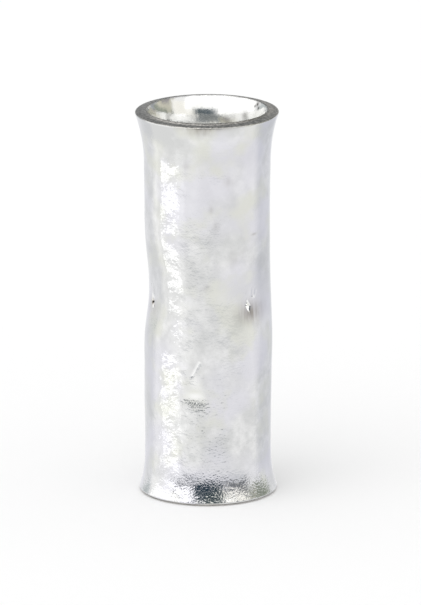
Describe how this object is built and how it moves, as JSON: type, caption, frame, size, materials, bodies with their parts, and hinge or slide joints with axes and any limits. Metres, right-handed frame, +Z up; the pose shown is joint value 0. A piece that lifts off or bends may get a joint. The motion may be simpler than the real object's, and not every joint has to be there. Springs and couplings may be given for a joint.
{
  "type": "butt splice connector",
  "caption": "Bare tinned copper butt splice tube with belled mouths and a punched centre stop, for crimping two wires end to end.",
  "frame": {"origin": "centre of the lower lip, on the surface that the splice stands on", "axes": "+Z up along the tube's axis, towards the wider bell; -Y faces the viewer"},
  "size_m": [0.012, 0.012, 0.0328],
  "materials": {
    "tin_plate": "satin tin plating over copper"
  },
  "bodies": {
    "root": {"splice_barrel": "tin_plate"}
  },
  "joints": []
}
